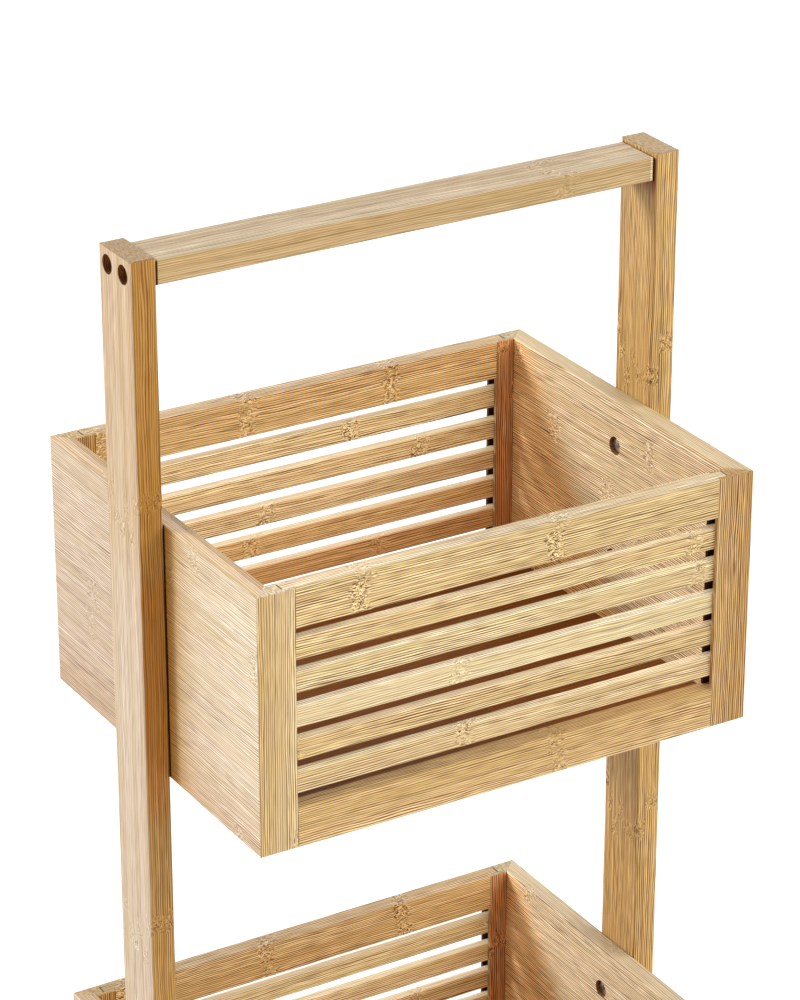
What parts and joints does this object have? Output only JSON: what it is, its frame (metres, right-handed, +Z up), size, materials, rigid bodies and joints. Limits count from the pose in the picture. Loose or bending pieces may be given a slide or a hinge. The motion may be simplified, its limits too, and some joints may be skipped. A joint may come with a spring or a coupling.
{
  "type": "bathroom basket stand",
  "caption": "Free-standing bamboo bathroom stand: slatted open baskets stacked between flat uprights, joined at the top by a carrying and towel bar.",
  "frame": {"origin": "on the floor under the middle of the stand", "axes": "+X to the right along the handle bar, +Y to the back, +Z up"},
  "size_m": [0.384, 0.27, 0.756],
  "materials": {
    "bamboo": "clear satin lacquer",
    "bolt_steel": "zinc plated",
    "insert_brass": "plain",
    "glide_plastic": "moulded"
  },
  "bodies": {
    "root": {"floor_glides": "glide_plastic", "handle_bar": "bamboo", "handle_screws": "bolt_steel", "left_upright": "bamboo", "lower_back_bottom_rail": "bamboo", "lower_back_left_stile": "bamboo", "lower_back_right_stile": "bamboo", "lower_back_slat_1": "bamboo", "lower_back_slat_2": "bamboo", "lower_back_slat_3": "bamboo", "lower_back_slat_4": "bamboo", "lower_back_slat_5": "bamboo", "lower_back_top_rail": "bamboo", "lower_basket_bolts": "bolt_steel", "lower_basket_inserts": "insert_brass", "lower_floor_panel": "bamboo", "lower_front_bottom_rail": "bamboo", "lower_front_left_stile": "bamboo", "lower_front_right_stile": "bamboo", "lower_front_slat_1": "bamboo", "lower_front_slat_2": "bamboo", "lower_front_slat_3": "bamboo", "lower_front_slat_4": "bamboo", "lower_front_slat_5": "bamboo", "lower_front_top_rail": "bamboo", "lower_left_side_panel": "bamboo", "lower_right_side_panel": "bamboo", "right_upright": "bamboo", "upper_back_bottom_rail": "bamboo", "upper_back_left_stile": "bamboo", "upper_back_right_stile": "bamboo", "upper_back_slat_1": "bamboo", "upper_back_slat_2": "bamboo", "upper_back_slat_3": "bamboo", "upper_back_slat_4": "bamboo", "upper_back_slat_5": "bamboo", "upper_back_top_rail": "bamboo", "upper_basket_bolts": "bolt_steel", "upper_basket_inserts": "insert_brass", "upper_floor_panel": "bamboo", "upper_front_bottom_rail": "bamboo", "upper_front_left_stile": "bamboo", "upper_front_right_stile": "bamboo", "upper_front_slat_1": "bamboo", "upper_front_slat_2": "bamboo", "upper_front_slat_3": "bamboo", "upper_front_slat_4": "bamboo", "upper_front_slat_5": "bamboo", "upper_front_top_rail": "bamboo", "upper_left_side_panel": "bamboo", "upper_right_side_panel": "bamboo"}
  },
  "joints": []
}
